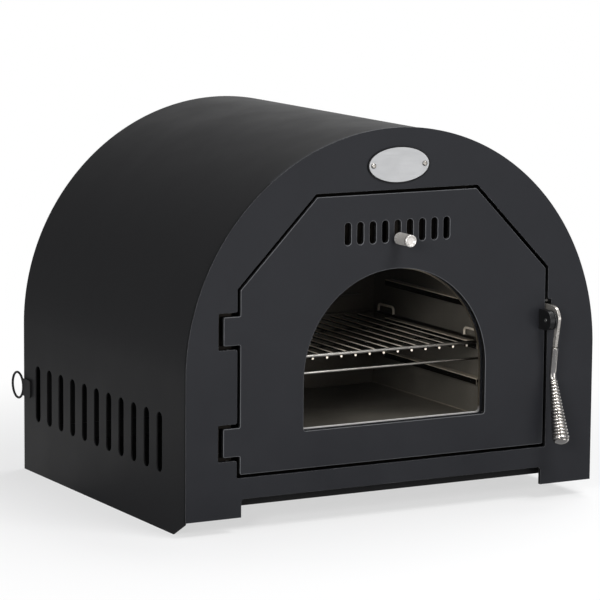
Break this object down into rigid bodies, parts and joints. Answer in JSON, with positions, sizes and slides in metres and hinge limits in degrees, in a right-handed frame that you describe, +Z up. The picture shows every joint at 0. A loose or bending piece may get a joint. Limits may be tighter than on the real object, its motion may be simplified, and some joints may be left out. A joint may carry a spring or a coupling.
{
  "type": "outdoor pizza oven",
  "caption": "Arched black sheet-steel outdoor oven with a hinged glass door, side vents, a sliding air damper, a spring-grip latch, a wire rack on rails and a bare oval badge.",
  "frame": {"origin": "on the ground under the middle of the whole oven, from the grip in front to the ring behind, at z = 0 where the side skirts stand", "axes": "+X to the right seen from the front, across the oven and its longest side; +Y to the rear, so the door faces -Y; +Z up"},
  "size_m": [0.602, 0.5721, 0.501],
  "materials": {
    "front_coat": "satin charcoal powder coat",
    "side_coat": "satin charcoal powder coat",
    "chamber_steel": "rolled stainless sheet",
    "bright_steel": "polished stainless",
    "plain_steel": "plated sheet",
    "badge_aluminium": "brushed",
    "clear_glass": "clear",
    "fibre": "mineral fibre"
  },
  "bodies": {
    "casing": {"front_plate": "front_coat", "casing_wrap": "side_coat", "rear_panel": "side_coat", "base_pan": "side_coat", "door_surround": "plain_steel", "chamber_face": "chamber_steel", "chamber_liner": "chamber_steel", "insulation_blanket": "fibre", "liner_support_front": "plain_steel", "liner_support_rear": "plain_steel", "rack_rail_lower_left": "chamber_steel", "rack_rail_middle_left": "chamber_steel", "rack_rail_upper_left": "chamber_steel", "rack_rail_lower_right": "chamber_steel", "rack_rail_middle_right": "chamber_steel", "rack_rail_upper_right": "chamber_steel", "rear_heat_shield": "chamber_steel", "badge_plate": "badge_aluminium", "badge_screw_left": "bright_steel", "badge_screw_right": "bright_steel", "hinge_bracket_lower": "plain_steel", "hinge_bracket_upper": "plain_steel", "hinge_pin_lower": "bright_steel", "hinge_pin_upper": "bright_steel", "latch_keeper": "bright_steel", "tie_ring": "side_coat"},
    "door": {"door_panel": "front_coat", "hinge_knuckle_lower": "front_coat", "hinge_knuckle_upper": "front_coat", "glass_gasket": "fibre", "window_glass": "clear_glass", "glass_frame": "plain_steel", "latch_block": "front_coat", "latch_spacer": "front_coat", "latch_washer": "front_coat", "latch_bolt": "bright_steel", "damper_guide_left": "plain_steel", "damper_guide_right": "plain_steel"},
    "damper": {"damper_plate": "plain_steel"},
    "knob": {"damper_knob": "bright_steel"},
    "latch": {"latch_lever": "bright_steel", "handle_sleeve": "bright_steel", "grip_core": "plain_steel", "grip_coil": "bright_steel", "grip_cap": "bright_steel"},
    "rack": {"wire_rack": "bright_steel"}
  },
  "joints": [
    {"name": "door_swing", "type": "hinge", "parent": "casing", "child": "door", "pos_m": [-0.238, -0.23, 0.242], "axis": [0, 0, -1], "range_deg": [0, 105]},
    {"name": "latch_lift", "type": "hinge", "parent": "door", "child": "latch", "pos_m": [0.2288, -0.2555, 0.242], "axis": [-1, 0, 0], "range_deg": [0, 40]},
    {"name": "damper_slide", "type": "slide", "parent": "door", "child": "damper", "axis": [0, 0, 1], "range_m": [0, 0.018]},
    {"name": "knob_turn", "type": "hinge", "parent": "damper", "child": "knob", "pos_m": [0, -0.2425, 0.3605], "axis": [0, -1, 0], "continuous": true},
    {"name": "rack_slide", "type": "slide", "parent": "casing", "child": "rack", "axis": [0, -1, 0], "range_m": [0, 0.012]}
  ]
}
